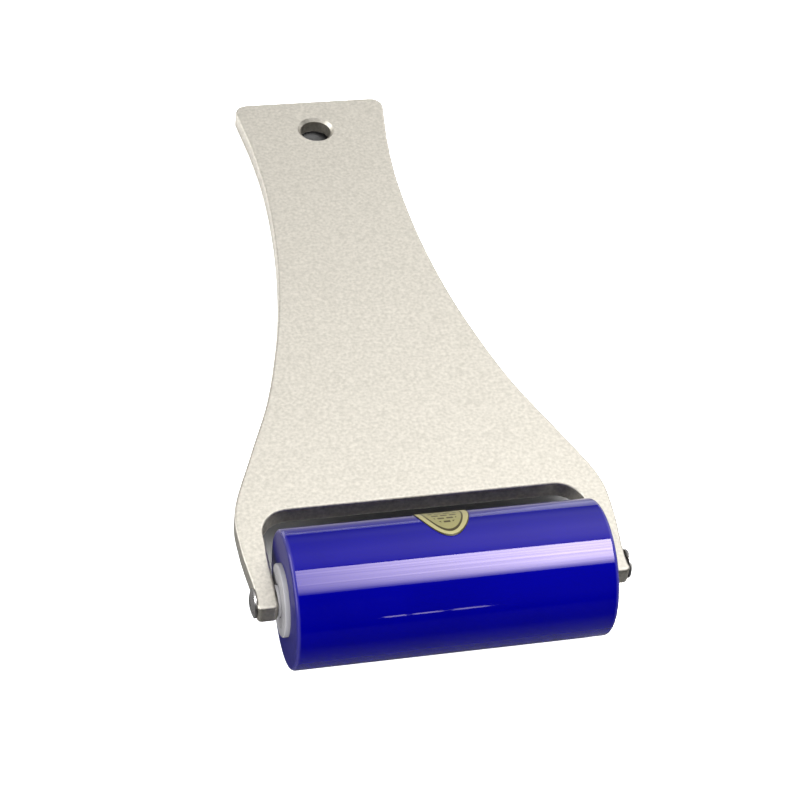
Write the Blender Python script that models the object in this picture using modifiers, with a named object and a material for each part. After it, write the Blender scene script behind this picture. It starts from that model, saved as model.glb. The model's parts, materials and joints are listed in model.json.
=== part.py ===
"""Hand roller: a flat forked aluminium handle with a silicone-covered roller on two ball bearings.

Metres, +Z up. The tool lies on a level surface, which the roller and the handle's rear edge
touch. X runs along the roller and +Y from the roller to the hanging hole. The world origin is
the middle of the bottom of the tool's box. Run it in Blender with --background --python.
"""

from math import asin, atan2, cos, hypot, pi, radians, sin, tau

import bmesh
import bpy
from mathutils import Matrix, Vector

MM = 0.001

# Silicone sleeve and the plastic core inside it
ROLLER_LENGTH = 76.0 * MM
ROLLER_RADIUS = 16.4 * MM
SLEEVE_EDGE_RADIUS = 1.0 * MM
CORE_RADIUS = 8.6 * MM
CORE_BORE_RADIUS = 5.0 * MM

# Cap that snaps over each end of the core and keeps its bearing in
CAP_STEP = 1.2 * MM  # how far the cap stands out of the sleeve
CAP_THICKNESS = 0.7 * MM
CAP_RIM_WALL = 0.7 * MM
CAP_RIM_DEPTH = 1.4 * MM
CAP_HOLE_RADIUS = 3.95 * MM
CAP_CHAMFER = 0.3 * MM

# Forked handle, all of it one plate; stations give the half width at a distance from the axle
PLATE_THICKNESS = 5.0 * MM
EDGE_BEVEL = 0.6 * MM
SLOT_HALF_WIDTH = 39.8 * MM
SLOT_DEPTH = 25.0 * MM
SLOT_CORNER_RADIUS = 7.0 * MM
ARM_HALF_WIDTH = 44.7 * MM  # at the axle
ARM_TIP = 4.0 * MM  # length of the arms beyond the axle
ARM_TIP_RADIUS = 1.2 * MM
FLANK = (
    (3.5, 44.7),
    (15.5, 45.8),
    (27.0, 45.1),
    (43.5, 38.6),
    (60.0, 31.8),
    (76.5, 26.9),
    (93.0, 23.1),
    (110.0, 20.5),
    (126.0, 19.1),
    (142.5, 18.7),
    (159.0, 19.7),
)
REAR_END = 176.1 * MM
REAR_HALF_WIDTH = 21.8 * MM
REAR_CORNER_RADIUS = 3.4 * MM
HOLE_DISTANCE = 163.6 * MM
HOLE_RADIUS = 4.3 * MM
HOLE_CHAMFER = 0.8 * MM

# Axle and the screw that holds each of its ends to an arm
AXLE_RADIUS = 2.5 * MM
AXLE_THREAD_DEPTH = 9.0 * MM
AXLE_THREAD_RADIUS = 1.6 * MM
ARM_HOLE_RADIUS = 1.65 * MM
SCREW_RADIUS = 1.5 * MM
SCREW_REACH = 8.0 * MM  # length of the shank inside the axle
SCREW_HEAD_RADIUS = 3.5 * MM
SCREW_HEAD_HEIGHT = 1.3 * MM
SCREW_HEAD_RIM = 0.5 * MM
RECESS_LENGTH = 3.2 * MM
RECESS_WIDTH = 0.7 * MM
RECESS_DEPTH = 0.9 * MM

# Ball bearing, 5 x 14 x 5 mm
BEARING_RADIUS = 7.0 * MM
BEARING_WIDTH = 5.0 * MM
BEARING_BORE_RADIUS = 2.55 * MM
INNER_LAND_RADIUS = 3.95 * MM
OUTER_LAND_RADIUS = 5.55 * MM
BALL_RADIUS = 1.0 * MM
BALL_COUNT = 7
PITCH_RADIUS = (INNER_LAND_RADIUS + OUTER_LAND_RADIUS) / 2
GROOVE_RADIUS = 1.15 * MM
CAGE_WALL = 0.6 * MM
CAGE_WIDTH = 3.0 * MM
POCKET_RADIUS = 1.15 * MM
SHIELD_THICKNESS = 0.25 * MM
SHIELD_INSET = 0.2 * MM
SHIELD_INNER_RADIUS = 4.1 * MM
SHIELD_OUTER_RADIUS = 5.85 * MM
SHIELD_SEAT_RADIUS = 5.95 * MM
SHIELD_SEAT_DEPTH = 0.55 * MM
SPACER_RADIUS = 3.7 * MM
SPACER_BORE_RADIUS = 2.6 * MM

# Oval sticker around the sleeve
LABEL_WIDTH = 12.5 * MM
LABEL_LENGTH = 22.5 * MM
LABEL_THICKNESS = 0.1 * MM
LABEL_ANGLE = radians(45.6)  # from straight up towards the handle
LABEL_OFFSET = 0.4 * MM

# Gaps between pieces: a close fit, and where one rests against another
FIT = 0.05 * MM
RESTING_GAP = 0.1 * MM

# Sides of the round pieces
SLEEVE_SIDES = 64
ROUND_SIDES = 32
SMALL_SIDES = 16
CAGE_SIDES = 4 * BALL_COUNT
BALL_SIDES = 10
BALL_RINGS = 6

# Straight pieces that stand for one stretch of a curve
GROOVE_STEPS = 4
DOME_STEPS = 4
SLEEVE_EDGE_STEPS = 3
FLANK_STEPS = 3
TIP_STEPS = 3
REAR_CORNER_STEPS = 6
SLOT_CORNER_STEPS = 6

SMOOTH_ANGLE = radians(20)
MERGE_DISTANCE = 0.01 * MM
CUTTER_CLEARANCE = 1.0 * MM  # how far a cutter reaches past what it cuts

# Places along the roller, from its middle
SLEEVE_END = ROLLER_LENGTH / 2
CAP_END = SLEEVE_END + CAP_STEP
CAP_INSIDE = CAP_END - CAP_THICKNESS
BEARING_FACE = CAP_INSIDE - RESTING_GAP
BEARING_MIDDLE = BEARING_FACE - BEARING_WIDTH / 2

# The handle leans back from the axle until its rear edge reaches the surface
LOW_EDGE = Vector((0, REAR_END - EDGE_BEVEL, -PLATE_THICKNESS / 2))
LEAN = asin(ROLLER_RADIUS / hypot(LOW_EDGE.y, LOW_EDGE.z)) - atan2(-LOW_EDGE.z, LOW_EDGE.y)
REARMOST = REAR_END * cos(LEAN) + (PLATE_THICKNESS / 2 - EDGE_BEVEL) * sin(LEAN)
AXLE_PLACE = Vector((0, (ROLLER_RADIUS - REARMOST) / 2, ROLLER_RADIUS))


def remove_everything():
    for thing in list(bpy.data.objects):
        bpy.data.objects.remove(thing, do_unlink=True)


def new_collection(name):
    collection = bpy.data.collections.new(name)
    bpy.context.scene.collection.children.link(collection)
    return collection


def material(name, colour, roughness, metallic=0.0):
    made = bpy.data.materials.new(name)
    made.use_nodes = True
    shader = made.node_tree.nodes["Principled BSDF"]
    shader.inputs["Base Color"].default_value = (*colour, 1.0)
    shader.inputs["Roughness"].default_value = roughness
    shader.inputs["Metallic"].default_value = metallic
    return made


def add_object(name, data, collection, parent=None, surface=None):
    made = bpy.data.objects.new(name, data)
    collection.objects.link(made)
    made.parent = parent
    if surface:
        data.materials.append(surface)
    return made


def add_empty(name, parent=None):
    return add_object(name, None, tool, parent)


def as_cutter(made):
    made.hide_render = True
    made.display_type = "WIRE"
    return made


def cut(body, cutter, operation="DIFFERENCE"):
    boolean = body.modifiers.new(cutter.name, "BOOLEAN")
    boolean.operation = operation
    boolean.object = cutter


def arc(centre, radius, start, end, steps):
    """Points of an arc from one angle to another, ends included."""
    angles = [start + (end - start) * i / steps for i in range(steps + 1)]
    return [(centre[0] + radius * cos(a), centre[1] + radius * sin(a)) for a in angles]


def turned_mesh(name, profile, closed):
    """A mesh edge loop or chain of (radius, height) points, to be turned about Z.

    The points run from top to bottom along the outer side.
    """
    mesh = bpy.data.meshes.new(name)
    count = len(profile)
    edges = [(i, (i + 1) % count) for i in range(count if closed else count - 1)]
    mesh.from_pydata([(r, 0, z) for r, z in profile], edges, [])
    return mesh


def add_turned(name, profile, sides, parent, surface=None, side=1, closed=True, collection=None):
    """A turned piece whose axis is X; side -1 points its top to -X."""
    mesh = turned_mesh(name, profile, closed)
    made = add_object(name, mesh, collection or tool, parent, surface)
    made.rotation_euler = (0, side * pi / 2, 0)
    screw = made.modifiers.new("Turn", "SCREW")
    screw.angle = tau
    screw.steps = sides
    screw.render_steps = sides
    screw.use_merge_vertices = True
    screw.merge_threshold = MERGE_DISTANCE
    screw.use_smooth_shade = True
    return made


def rounded_corner(before, corner, after, radius, steps):
    """The corner of an outline replaced by an arc that is tangent to both of its sides."""
    to_before = (before - corner).normalized()
    to_after = (after - corner).normalized()
    half_angle = to_before.angle(to_after) / 2
    middle = (to_before + to_after).normalized()
    centre = corner + middle * radius / sin(half_angle)
    start = corner + to_before * radius * cos(half_angle) / sin(half_angle) - centre
    sweep = pi - 2 * half_angle
    turn = sweep if start.x * to_before.y - start.y * to_before.x < 0 else -sweep
    return [centre + Matrix.Rotation(turn * i / steps, 2) @ start for i in range(steps + 1)]


def smooth_flank(stations):
    """Points on a smooth curve through the stations (Catmull-Rom), from the first to the last."""
    ends = [2 * stations[0] - stations[1]], [2 * stations[-1] - stations[-2]]
    guide = ends[0] + stations + ends[1]
    points = []
    for a, b, c, d in zip(guide, guide[1:], guide[2:], guide[3:]):
        for t in (i / FLANK_STEPS for i in range(FLANK_STEPS)):
            points.append(
                (2 * b + (c - a) * t + (2 * a - 5 * b + 4 * c - d) * t**2
                 + (3 * b - a - 3 * c + d) * t**3) / 2
            )
    return points + [stations[-1]]


def handle_outline():
    """The plate's outline in its own plane, anticlockwise, from the slot's back edge."""
    stations = [Vector((w * MM, y * MM)) for y, w in FLANK]
    rear_corner = Vector((REAR_HALF_WIDTH, REAR_END))
    tip_inner = Vector((SLOT_HALF_WIDTH, -ARM_TIP))
    tip_outer = Vector((ARM_HALF_WIDTH, -ARM_TIP))
    slot_corner = Vector((SLOT_HALF_WIDTH, SLOT_DEPTH))
    middle = Vector((0, SLOT_DEPTH))
    rear_middle = Vector((0, REAR_END))
    half = rounded_corner(middle, slot_corner, tip_inner, SLOT_CORNER_RADIUS, SLOT_CORNER_STEPS)
    half += rounded_corner(slot_corner, tip_inner, tip_outer, ARM_TIP_RADIUS, TIP_STEPS)
    half += rounded_corner(tip_inner, tip_outer, stations[0], ARM_TIP_RADIUS, TIP_STEPS)
    half += smooth_flank(stations + [rear_corner])[:-FLANK_STEPS]
    half += rounded_corner(
        half[-1], rear_corner, rear_middle, REAR_CORNER_RADIUS, REAR_CORNER_STEPS
    )
    return half + [Vector((-p.x, p.y)) for p in reversed(half)]


def mesh_of_curve(curve_object, name):
    """A welded mesh of an evaluated curve object, which is removed."""
    graph = bpy.context.evaluated_depsgraph_get()
    mesh = bpy.data.meshes.new_from_object(curve_object.evaluated_get(graph))
    mesh.name = name
    curve = curve_object.data
    bpy.data.objects.remove(curve_object)
    bpy.data.curves.remove(curve)
    body = bmesh.new()
    body.from_mesh(mesh)
    bmesh.ops.remove_doubles(body, verts=body.verts, dist=MERGE_DISTANCE)
    bmesh.ops.recalc_face_normals(body, faces=body.faces)
    body.to_mesh(mesh)
    body.free()
    return mesh


def add_handle_frame(parent):
    """The plate, bevelled all round, with its hanging hole and the arms' screw holes."""
    curve = bpy.data.curves.new("handle_outline", "CURVE")
    curve.dimensions = "2D"
    curve.fill_mode = "BOTH"
    curve.extrude = PLATE_THICKNESS / 2 - EDGE_BEVEL
    curve.bevel_depth = EDGE_BEVEL
    curve.bevel_resolution = 0
    curve.offset = -EDGE_BEVEL
    outline = handle_outline()
    spline = curve.splines.new("POLY")
    spline.points.add(len(outline) - 1)
    for point, place in zip(spline.points, outline):
        point.co = (place.x, place.y, 0, 1)
    spline.use_cyclic_u = True
    flat = add_object("handle_outline", curve, cutters)
    bpy.context.view_layer.update()
    mesh = mesh_of_curve(flat, "handle_frame")
    mesh.shade_smooth()
    mesh.set_sharp_from_angle(angle=SMOOTH_ANGLE)
    frame = add_object("handle_frame", mesh, tool, parent, aluminium)
    cut(frame, add_hole_cutter(parent))
    cut(frame, add_arm_hole_cutter(parent))
    return frame


def add_hole_cutter(parent):
    """The hanging hole with a chamfer at each face."""
    top = PLATE_THICKNESS / 2
    high = top + CUTTER_CLEARANCE
    wide = HOLE_RADIUS + HOLE_CHAMFER + CUTTER_CLEARANCE
    profile = (
        (0, high), (wide, high), (HOLE_RADIUS, top - HOLE_CHAMFER),
        (HOLE_RADIUS, HOLE_CHAMFER - top), (wide, -high), (0, -high),
    )
    cutter = add_turned(
        "hanging_hole_cutter", profile, ROUND_SIDES, parent, closed=False, collection=cutters
    )
    cutter.rotation_euler = (0, 0, 0)
    cutter.location = (0, HOLE_DISTANCE, 0)
    return as_cutter(cutter)


def add_arm_hole_cutter(parent):
    reach = ARM_HALF_WIDTH + CUTTER_CLEARANCE
    profile = ((0, reach), (ARM_HOLE_RADIUS, reach), (ARM_HOLE_RADIUS, -reach), (0, -reach))
    cutter = add_turned(
        "arm_hole_cutter", profile, SMALL_SIDES, parent, closed=False, collection=cutters
    )
    return as_cutter(cutter)


def add_axle_shaft(parent):
    """A plain shaft between the arms, tapped at both ends, with drill points."""
    end = SLOT_HALF_WIDTH - RESTING_GAP
    bottom = end - AXLE_THREAD_DEPTH
    half = (
        (0, bottom - AXLE_THREAD_RADIUS / 2), (AXLE_THREAD_RADIUS, bottom),
        (AXLE_THREAD_RADIUS, end), (AXLE_RADIUS, end),
    )
    profile = half + tuple((r, -z) for r, z in reversed(half))
    return add_turned("axle_shaft", profile, SMALL_SIDES, parent, steel, closed=False)


def add_axle_screw(name, side, parent):
    """A screw with a low domed head and a cross recess, its shank along the axle."""
    seat = ARM_HALF_WIDTH + RESTING_GAP / 2
    crown = SCREW_HEAD_HEIGHT - SCREW_HEAD_RIM
    dome_radius = (SCREW_HEAD_RADIUS**2 + crown**2) / (2 * crown)
    dome_centre = seat + SCREW_HEAD_HEIGHT - dome_radius
    edge_angle = atan2(seat + SCREW_HEAD_RIM - dome_centre, SCREW_HEAD_RADIUS)
    dome = arc((0, dome_centre), dome_radius, pi / 2, edge_angle, DOME_STEPS)
    shank_end = SLOT_HALF_WIDTH - SCREW_REACH
    shank = (
        (SCREW_HEAD_RADIUS, seat), (SCREW_RADIUS, seat),
        (SCREW_RADIUS, shank_end + SCREW_RADIUS / 2), (SCREW_RADIUS / 2, shank_end), (0, shank_end),
    )
    profile = [(0, dome[0][1])] + dome[1:] + list(shank)
    screw = add_turned(name, profile, SMALL_SIDES, parent, dark_steel, side, False)
    floor = seat + SCREW_HEAD_HEIGHT - RECESS_DEPTH
    for number, turn in enumerate((pi / 4, -pi / 4)):
        wing = bmesh.new()
        size = Matrix.Diagonal((RECESS_LENGTH, RECESS_WIDTH, 2 * RECESS_DEPTH, 1))
        place = Matrix.Translation((0, 0, floor + RECESS_DEPTH))
        bmesh.ops.create_cube(wing, size=1, matrix=place @ Matrix.Rotation(turn, 4, "Z") @ size)
        mesh = bpy.data.meshes.new(f"{name}_recess_{number}")
        wing.to_mesh(mesh)
        wing.free()
        cutter = as_cutter(add_object(mesh.name, mesh, cutters, parent))
        cutter.rotation_euler = screw.rotation_euler
        cut(screw, cutter)
    return screw


def add_spacer(name, side, parent):
    """A plastic ring that keeps the bearing's inner ring off the arm."""
    low = BEARING_FACE + FIT
    high = SLOT_HALF_WIDTH - FIT
    profile = ring(SPACER_BORE_RADIUS, SPACER_RADIUS, low, high)
    return add_turned(name, profile, SMALL_SIDES, parent, white_plastic, side)


def ring(inner, outer, low, high):
    """The section of a plain ring, ready to be turned."""
    return ((inner, high), (outer, high), (outer, low), (inner, low))


def add_core(parent):
    """A plastic tube with a seat for a bearing in each end, and a step for the cap around it."""
    seat_radius = BEARING_RADIUS + FIT
    shoulder = BEARING_FACE - BEARING_WIDTH - RESTING_GAP
    end = CAP_INSIDE - FIT
    step = end - CAP_RIM_DEPTH
    step_radius = CORE_RADIUS - CAP_RIM_WALL - FIT
    half = (
        (CORE_BORE_RADIUS, shoulder), (seat_radius, shoulder), (seat_radius, end),
        (step_radius, end), (step_radius, step), (CORE_RADIUS, step),
    )
    profile = half + tuple((r, -z) for r, z in reversed(half))
    return add_turned("roller_core", profile, ROUND_SIDES, parent, white_plastic)


def add_end_cap(name, side, parent):
    """A shallow plastic cup over the end of the core, with a hole for the spacer."""
    rim = CAP_INSIDE - CAP_RIM_DEPTH
    rim_inside = CORE_RADIUS - CAP_RIM_WALL
    profile = (
        (CAP_HOLE_RADIUS, CAP_END), (CORE_RADIUS - CAP_CHAMFER, CAP_END),
        (CORE_RADIUS, CAP_END - CAP_CHAMFER), (CORE_RADIUS, rim),
        (rim_inside, rim), (rim_inside, CAP_INSIDE), (CAP_HOLE_RADIUS, CAP_INSIDE),
    )
    return add_turned(name, profile, ROUND_SIDES, parent, white_plastic, side)


def add_sleeve(parent):
    """The silicone tube over the core, with rounded outer edges."""
    inner = CORE_RADIUS + RESTING_GAP
    edge = SLEEVE_END - SLEEVE_EDGE_RADIUS
    corner = (ROLLER_RADIUS - SLEEVE_EDGE_RADIUS, edge)
    top = arc(corner, SLEEVE_EDGE_RADIUS, pi / 2, 0, SLEEVE_EDGE_STEPS)
    profile = [(inner, SLEEVE_END)] + top
    profile += [(r, -z) for r, z in reversed(profile)]
    return add_turned("silicone_sleeve", profile, SLEEVE_SIDES, parent, blue_silicone)


def add_label(parent):
    """An oval sticker around the sleeve: what an oval stamp leaves of a thin tube."""
    inner = ROLLER_RADIUS + FIT
    half = LABEL_WIDTH / 2
    profile = ring(inner, inner + LABEL_THICKNESS, LABEL_OFFSET - half, LABEL_OFFSET + half)
    label = add_turned("sleeve_label", profile, SLEEVE_SIDES, parent, gold_foil)
    half_bend = LABEL_LENGTH / 2 / ROLLER_RADIUS
    low = ROLLER_RADIUS * cos(half_bend) - CUTTER_CLEARANCE
    high = ROLLER_RADIUS + CUTTER_CLEARANCE
    place = Matrix.Translation((LABEL_OFFSET, 0, 0)) @ Matrix.Rotation(-LABEL_ANGLE, 4, "X")
    rise = Matrix.Translation((0, 0, (low + high) / 2))
    size = Matrix.Diagonal((half, ROLLER_RADIUS * sin(half_bend), high - low, 1))
    stamp = bmesh.new()
    bmesh.ops.create_cone(
        stamp, cap_ends=True, segments=ROUND_SIDES, depth=1, radius1=1, radius2=1,
        matrix=place @ rise @ size,
    )
    mesh = bpy.data.meshes.new("label_stamp")
    stamp.to_mesh(mesh)
    stamp.free()
    cut(label, as_cutter(add_object(mesh.name, mesh, cutters, parent)), "INTERSECT")
    return label


def add_races(side_name, side, fixed, turning):
    """The two rings of a bearing, each with a ball groove."""
    half = BEARING_WIDTH / 2
    reach = asin((PITCH_RADIUS - INNER_LAND_RADIUS) / GROOVE_RADIUS)
    centre = (PITCH_RADIUS, BEARING_MIDDLE)
    inner_groove = arc(centre, GROOVE_RADIUS, pi / 2 + reach, pi * 3 / 2 - reach, GROOVE_STEPS)
    inner = [
        (BEARING_BORE_RADIUS, BEARING_MIDDLE + half), (INNER_LAND_RADIUS, BEARING_MIDDLE + half),
        *inner_groove,
        (INNER_LAND_RADIUS, BEARING_MIDDLE - half), (BEARING_BORE_RADIUS, BEARING_MIDDLE - half),
    ]
    outer_groove = arc(centre, GROOVE_RADIUS, reach - pi / 2, pi / 2 - reach, GROOVE_STEPS)
    seat = half - SHIELD_SEAT_DEPTH
    outer = [
        (SHIELD_SEAT_RADIUS, BEARING_MIDDLE + half), (BEARING_RADIUS, BEARING_MIDDLE + half),
        (BEARING_RADIUS, BEARING_MIDDLE - half), (SHIELD_SEAT_RADIUS, BEARING_MIDDLE - half),
        (SHIELD_SEAT_RADIUS, BEARING_MIDDLE - seat), (OUTER_LAND_RADIUS, BEARING_MIDDLE - seat),
        *outer_groove,
        (OUTER_LAND_RADIUS, BEARING_MIDDLE + seat), (SHIELD_SEAT_RADIUS, BEARING_MIDDLE + seat),
    ]
    add_turned(f"{side_name}_inner_race", inner, ROUND_SIDES, fixed, bearing_steel, side)
    add_turned(f"{side_name}_outer_race", outer, ROUND_SIDES, turning, bearing_steel, side)


def add_shields(side_name, side, parent):
    half = BEARING_WIDTH / 2
    for place, sign in (("outside", 1), ("inside", -1)):
        middle = BEARING_MIDDLE + sign * (half - SHIELD_INSET - SHIELD_THICKNESS / 2)
        low = middle - SHIELD_THICKNESS / 2
        profile = ring(SHIELD_INNER_RADIUS, SHIELD_OUTER_RADIUS, low, low + SHIELD_THICKNESS)
        name = f"{side_name}_{place}_shield"
        add_turned(name, profile, ROUND_SIDES, parent, steel, side)


def add_cage_and_balls(side_name, side, parent):
    """The cage ring with a round pocket for each ball, and the balls in them."""
    low = BEARING_MIDDLE - CAGE_WIDTH / 2
    inner = PITCH_RADIUS - CAGE_WALL / 2
    profile = ring(inner, inner + CAGE_WALL, low, low + CAGE_WIDTH)
    cage = add_turned(f"{side_name}_ball_cage", profile, CAGE_SIDES, parent, brass, side)
    pockets = bmesh.new()
    ball_mesh = bpy.data.meshes.new(f"{side_name}_ball")
    ball = bmesh.new()
    bmesh.ops.create_uvsphere(
        ball, u_segments=BALL_SIDES, v_segments=BALL_RINGS, radius=BALL_RADIUS
    )
    ball.to_mesh(ball_mesh)
    ball.free()
    ball_mesh.shade_smooth()
    ball_mesh.materials.append(bearing_steel)
    for number in range(BALL_COUNT):
        angle = tau * number / BALL_COUNT
        place = Vector((side * BEARING_MIDDLE, PITCH_RADIUS * sin(angle), PITCH_RADIUS * cos(angle)))
        radial = Vector((0, 0, 1)).rotation_difference(Vector((0, place.y, place.z)))
        matrix = Matrix.Translation(place) @ radial.to_matrix().to_4x4()
        bmesh.ops.create_cone(
            pockets, cap_ends=True, segments=SMALL_SIDES, depth=3 * CAGE_WALL,
            radius1=POCKET_RADIUS, radius2=POCKET_RADIUS, matrix=matrix,
        )
        made = add_object(f"{side_name}_ball_{number + 1}", ball_mesh, tool, parent)
        made.location = place
    mesh = bpy.data.meshes.new(f"{side_name}_pocket_cutter")
    pockets.to_mesh(mesh)
    pockets.free()
    cut(cage, as_cutter(add_object(mesh.name, mesh, cutters, parent)))


remove_everything()
tool = new_collection("hand_roller")
cutters = new_collection("cutters")

aluminium = material("blasted_aluminium", (0.78, 0.77, 0.73), 0.42, 1.0)
blue_silicone = material("blue_silicone", (0.005, 0.0, 0.33), 0.12)
white_plastic = material("white_plastic", (0.72, 0.72, 0.74), 0.4)
steel = material("turned_steel", (0.56, 0.56, 0.57), 0.3, 1.0)
dark_steel = material("screw_steel", (0.32, 0.31, 0.3), 0.35, 1.0)
bearing_steel = material("bearing_steel", (0.65, 0.65, 0.67), 0.12, 1.0)
brass = material("cage_brass", (0.6, 0.42, 0.16), 0.3, 1.0)
gold_foil = material("gold_foil", (0.66, 0.6, 0.27), 0.35, 0.6)

# The axle empty carries what turns; the leaning one under it carries what stays with the handle
axle_empty = add_empty("axle_place")
axle_empty.location = AXLE_PLACE
handle_empty = add_empty("handle_place", axle_empty)
handle_empty.rotation_euler = (-LEAN, 0, 0)

add_handle_frame(handle_empty)
add_axle_shaft(handle_empty)
add_core(axle_empty)
add_sleeve(axle_empty)
add_label(axle_empty)
for side_name, side in (("left", -1), ("right", 1)):
    add_axle_screw(f"{side_name}_axle_screw", side, handle_empty)
    add_spacer(f"{side_name}_spacer", side, handle_empty)
    add_end_cap(f"{side_name}_end_cap", side, axle_empty)
    add_races(side_name, side, handle_empty, axle_empty)
    add_shields(side_name, side, axle_empty)
    add_cage_and_balls(side_name, side, axle_empty)
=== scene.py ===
"""The finished look of the hand roller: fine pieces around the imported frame, in a small studio.

Metres, +Z up, in the frame's own coordinates. X runs along the roller and +Y from the roller to
the hanging hole. Every turned piece lies on the axle's line, which is parallel to X. The handle
is drawn flat, as a plan with its origin at the axle, and then leaned back to its place.
"""

import json
from math import acos, asin, atan2, cos, pi, radians, sin, tau

import bmesh
import bpy
from mathutils import Matrix, Vector

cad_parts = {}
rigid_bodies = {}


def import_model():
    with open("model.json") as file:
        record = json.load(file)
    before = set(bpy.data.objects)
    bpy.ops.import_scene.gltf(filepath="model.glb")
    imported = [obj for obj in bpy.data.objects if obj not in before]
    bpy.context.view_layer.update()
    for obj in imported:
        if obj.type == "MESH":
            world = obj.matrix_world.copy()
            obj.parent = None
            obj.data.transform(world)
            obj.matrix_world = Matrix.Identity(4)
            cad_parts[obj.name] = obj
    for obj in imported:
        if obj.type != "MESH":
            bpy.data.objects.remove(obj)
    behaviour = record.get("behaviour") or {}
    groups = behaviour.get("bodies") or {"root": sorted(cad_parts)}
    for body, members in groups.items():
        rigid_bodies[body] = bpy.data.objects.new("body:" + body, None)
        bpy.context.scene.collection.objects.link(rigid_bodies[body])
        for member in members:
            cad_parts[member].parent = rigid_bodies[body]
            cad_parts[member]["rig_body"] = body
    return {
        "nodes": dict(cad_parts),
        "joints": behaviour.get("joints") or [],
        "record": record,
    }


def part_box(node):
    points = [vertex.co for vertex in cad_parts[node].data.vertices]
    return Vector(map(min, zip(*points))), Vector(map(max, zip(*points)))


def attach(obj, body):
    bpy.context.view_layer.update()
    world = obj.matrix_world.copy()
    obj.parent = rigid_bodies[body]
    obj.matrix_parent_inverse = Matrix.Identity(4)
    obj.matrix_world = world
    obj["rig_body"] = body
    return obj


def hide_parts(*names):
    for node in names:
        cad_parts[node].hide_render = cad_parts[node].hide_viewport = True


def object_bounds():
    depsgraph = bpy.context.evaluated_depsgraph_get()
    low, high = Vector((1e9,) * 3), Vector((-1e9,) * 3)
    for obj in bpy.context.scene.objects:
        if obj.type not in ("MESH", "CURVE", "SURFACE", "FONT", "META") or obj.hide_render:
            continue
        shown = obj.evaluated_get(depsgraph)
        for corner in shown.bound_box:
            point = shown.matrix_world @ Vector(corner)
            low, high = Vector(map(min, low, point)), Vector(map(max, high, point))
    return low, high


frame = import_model()
CAD_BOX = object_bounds()
MM = 0.001

# The axle's line, and how far the handle leans back from level
AXLE = Vector(frame["joints"][0]["pos_m"])
PLATE_UP = next(
    Vector(mount["axis"])
    for mount in frame["record"]["mounts"]
    if mount["name"] == "hanging_end_top"
)
LEAN = atan2(PLATE_UP.y, PLATE_UP.z)
TO_HANDLE = Matrix.Translation(AXLE) @ Matrix.Rotation(-LEAN, 4, "X")

# Handle plate before it leans: half widths at distances from the axle, in millimetres
FLANK = (
    (3.5, 44.7), (15.5, 45.8), (27.0, 45.1), (43.5, 38.6), (60.0, 31.8), (76.5, 26.9),
    (93.0, 23.1), (110.0, 20.5), (126.0, 19.1), (142.5, 18.7), (159.0, 19.7),
)
REAR_END = 176.1 * MM
REAR_HALF_WIDTH = 21.8 * MM
REAR_CORNER_RADIUS = 3.4 * MM
PLATE_THICKNESS = 5.0 * MM
EDGE_RADIUS = 0.6 * MM
SLOT_HALF_WIDTH = 39.8 * MM
SLOT_DEPTH = 25.0 * MM
SLOT_CORNER_RADIUS = 7.0 * MM
ARM_HALF_WIDTH = 44.7 * MM
ARM_TIP = 4.0 * MM
ARM_TIP_RADIUS = 1.2 * MM
HOLE_DISTANCE = 163.6 * MM
HOLE_RADIUS = 4.3 * MM
HOLE_CHAMFER = 0.8 * MM
ARM_HOLE_RADIUS = 1.65 * MM
FLANK_STEPS = 12
CORNER_STEPS = 16
EDGE_STEPS = 4

# Roller details that a box around the piece doesn't tell
SLEEVE_EDGE_RADIUS = 1.0 * MM
SLEEVE_WALL = 7.7 * MM
CORE_BORE_RADIUS = 5.0 * MM
FIT_CLEARANCE = 0.05 * MM
CAP_THICKNESS = 0.7 * MM
CAP_RIM_WALL = 0.7 * MM
CAP_HOLE_RADIUS = 3.95 * MM
CAP_EDGE = 0.35 * MM
LABEL_ANGLE = radians(45.6)
LABEL_LENGTH = 22.5 * MM
LABEL_THICKNESS = 0.1 * MM

# Screw details
SCREW_HEAD_HEIGHT = 1.3 * MM
SCREW_HEAD_RIM = 0.5 * MM
SCREW_RADIUS = 1.5 * MM
THREAD_DEPTH = 0.28 * MM
THREAD_PITCH = 0.5 * MM
RECESS_LENGTH = 3.3 * MM
RECESS_WIDTH = 0.75 * MM
RECESS_DEPTH = 0.95 * MM
DOME_STEPS = 16
ROWS_PER_THREAD = 8

# Bearing details
BEARING_BORE_RADIUS = 2.55 * MM
INNER_LAND_RADIUS = 3.95 * MM
OUTER_LAND_RADIUS = 5.55 * MM
PITCH_RADIUS = (INNER_LAND_RADIUS + OUTER_LAND_RADIUS) / 2
GROOVE_RADIUS = 1.1 * MM
SHIELD_SEAT_RADIUS = 5.95 * MM
SHIELD_SEAT_DEPTH = 0.55 * MM
RACE_EDGE = 0.25 * MM
SHIELD_GAUGE = 0.14 * MM
POCKET_RADIUS = 1.12 * MM
BALL_COUNT = 7

SLEEVE_SIDES = 256
ROUND_SIDES = 128
SMALL_SIDES = 48
SMOOTH_ANGLE = radians(32)


# Places read from the frame

def along(node):
    """Where a node starts and ends along the roller."""
    low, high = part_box(node)
    return low.x, high.x


def radius_of(node):
    """The largest radius of a turned node."""
    low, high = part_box(node)
    return (high.z - low.z) / 2


# Mesh building

def finished(name, mesh, surface):
    """An object for a mesh in place, shaded smooth up to its sharp edges."""
    mesh.name = name
    mesh.materials.clear()
    mesh.materials.append(surface)
    mesh.shade_smooth()
    mesh.set_sharp_from_angle(angle=SMOOTH_ANGLE)
    piece = bpy.data.objects.new(name, mesh)
    bpy.context.scene.collection.objects.link(piece)
    return piece


def stand_in(node, mesh, surface):
    """A fine piece that takes the place of a CAD node and moves with its body."""
    piece = finished(f"{node}_fine", mesh, surface)
    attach(piece, frame["nodes"][node]["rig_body"])
    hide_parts(node)
    return piece


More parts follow.
